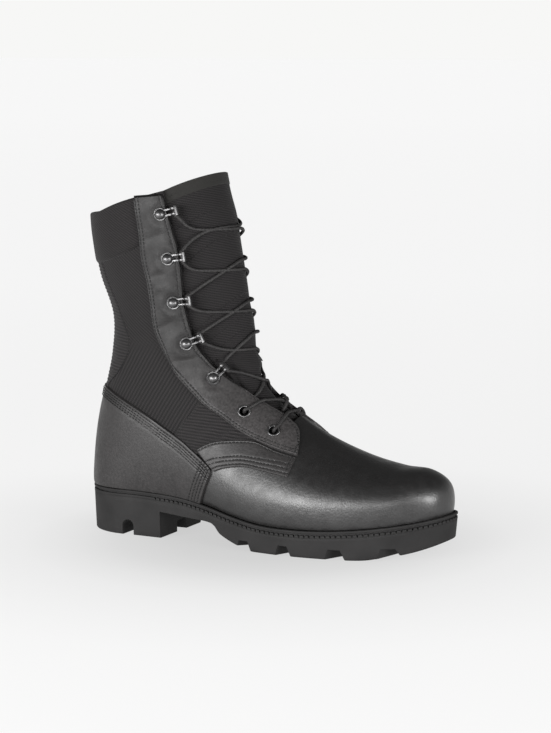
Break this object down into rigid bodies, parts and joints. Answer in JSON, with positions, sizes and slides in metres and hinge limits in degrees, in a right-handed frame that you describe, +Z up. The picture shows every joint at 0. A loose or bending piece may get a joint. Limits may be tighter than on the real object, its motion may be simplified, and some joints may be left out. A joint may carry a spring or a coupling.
{
  "type": "tactical boot",
  "caption": "Right tactical boot with a lugged rubber sole, leather foot, nylon shaft, and a laced throat with eyelets and speed-lace loops.",
  "frame": {"origin": "middle of the boot's bounding box in plan, on the floor that the sole stands on", "axes": "+X towards the toe, +Y towards the inner (medial) side, +Z up; metres"},
  "size_m": [0.3103, 0.1093, 0.2887],
  "materials": {
    "leather": "smooth black, slight sheen",
    "upper_shell": "black leather foot, woven nylon shaft",
    "nylon": "black twill, matte",
    "webbing": "black ribbed webbing, matte",
    "rubber": "matte black",
    "footbed": "matte dark grey",
    "black_metal": "glossy black",
    "lace": "black braided cord, matte"
  },
  "bodies": {
    "root": {"outsole": "rubber", "insole": "footbed", "upper": "upper_shell", "cuff": "nylon", "tongue": "nylon", "backstay": "webbing", "heel_counter": "leather", "quarter_band_lateral": "leather", "quarter_band_medial": "leather", "eyestay_lateral": "leather", "eyestay_medial": "leather", "hook_lateral_1": "black_metal", "hook_lateral_2": "black_metal", "hook_lateral_3": "black_metal", "hook_lateral_4": "black_metal", "hook_lateral_5": "black_metal", "hook_medial_1": "black_metal", "hook_medial_2": "black_metal", "hook_medial_3": "black_metal", "hook_medial_4": "black_metal", "hook_medial_5": "black_metal", "eyelet_lateral_1": "black_metal", "eyelet_lateral_2": "black_metal", "eyelet_medial_1": "black_metal", "eyelet_medial_2": "black_metal", "lace_cross_1": "lace", "lace_cross_2": "lace", "lace_cross_3": "lace", "lace_cross_4": "lace", "lace_cross_5": "lace", "lace_cross_6": "lace"}
  },
  "joints": []
}
